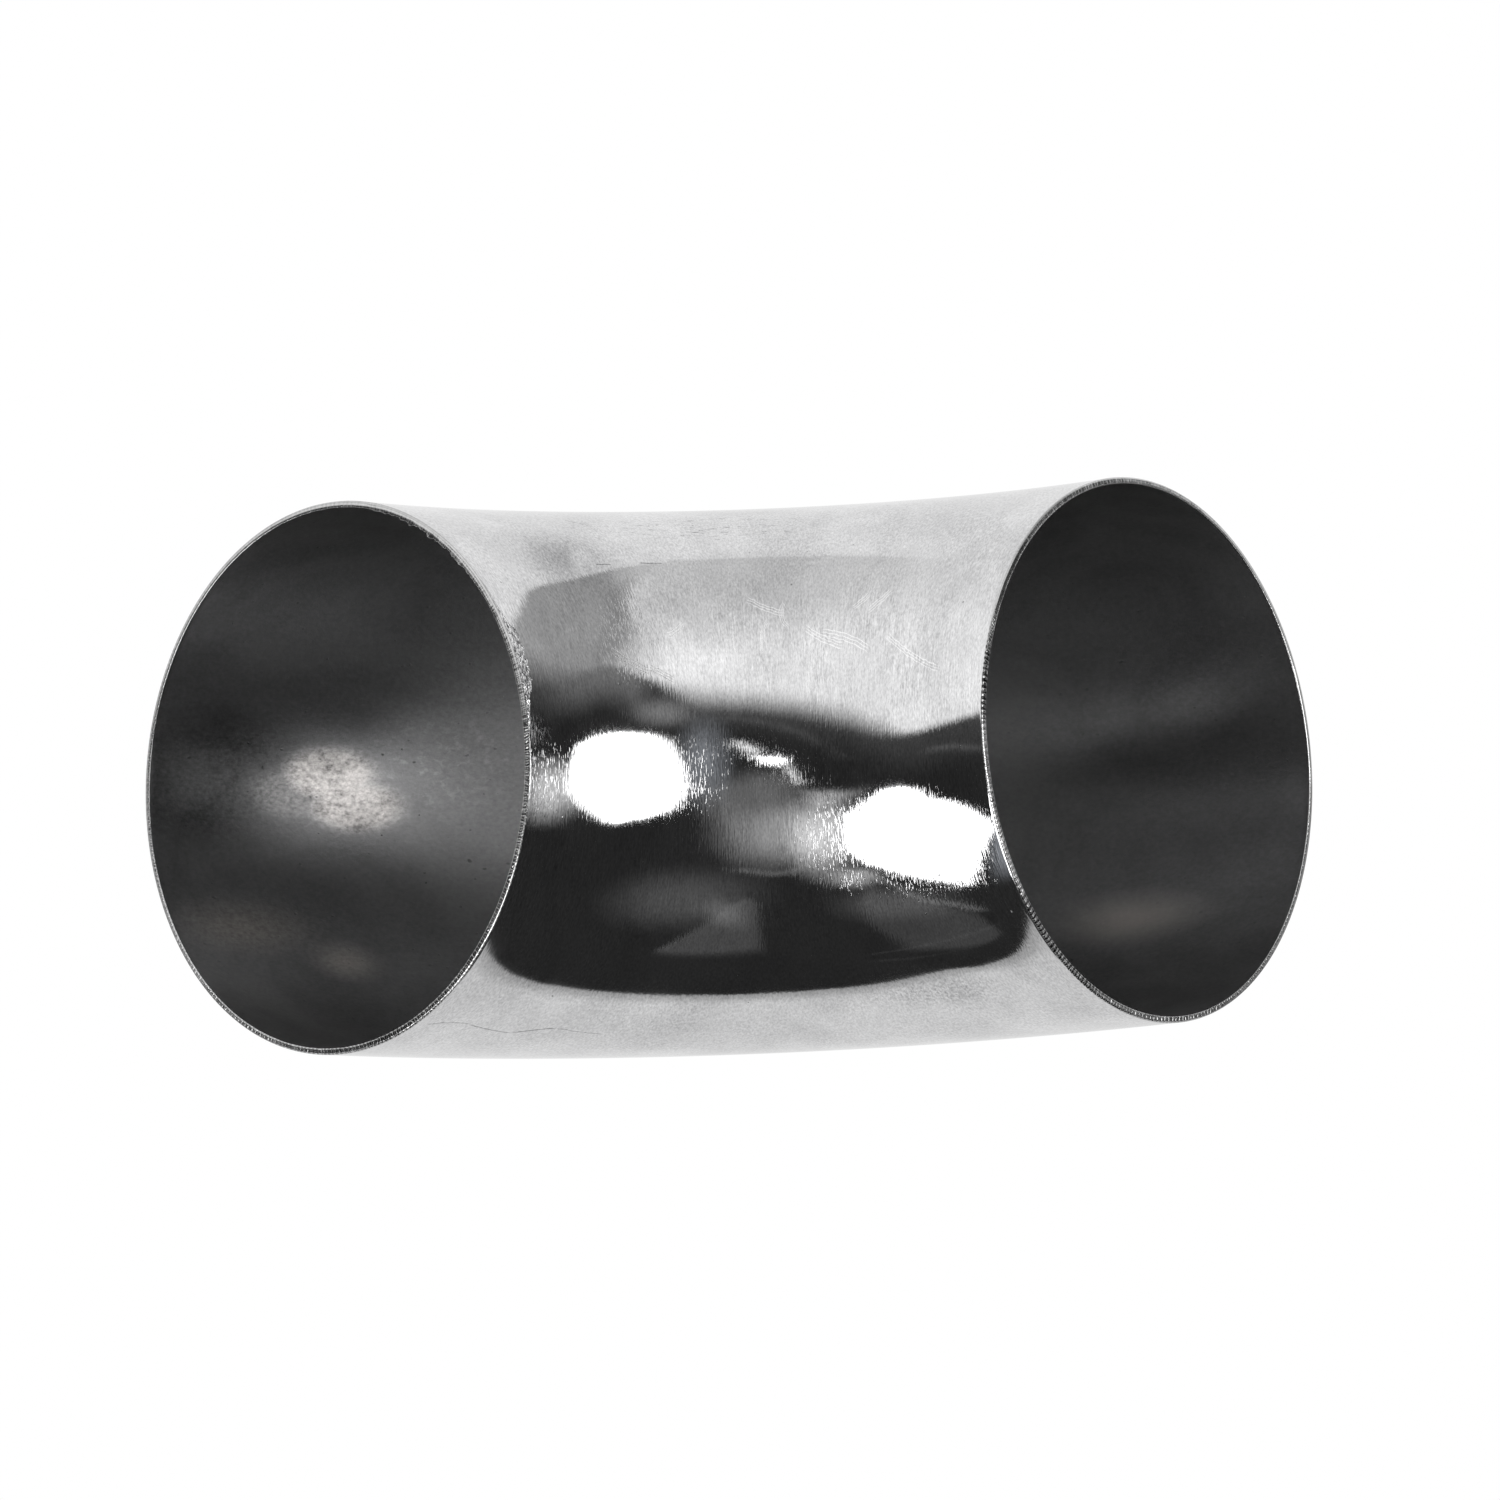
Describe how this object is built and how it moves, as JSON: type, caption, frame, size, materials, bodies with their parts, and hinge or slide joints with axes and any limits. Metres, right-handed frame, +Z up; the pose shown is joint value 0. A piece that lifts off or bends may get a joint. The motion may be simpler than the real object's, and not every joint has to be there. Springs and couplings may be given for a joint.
{
  "type": "pipe elbow",
  "caption": "Ninety degree tube elbow: a thin round polished tube bent through a quarter turn on a short radius, open and cut square at both mouths.",
  "frame": {"origin": "centre of the inlet mouth, in the plane of its cut end", "axes": "+Z up, square to the bend's level plane; the inlet mouth faces -Y; the outlet mouth faces +X"},
  "size_m": [0.159, 0.159, 0.102],
  "materials": {
    "steel": "polished outside with fine brush marks, dull grey inside"
  },
  "bodies": {
    "root": {"elbow": "steel"}
  },
  "joints": []
}
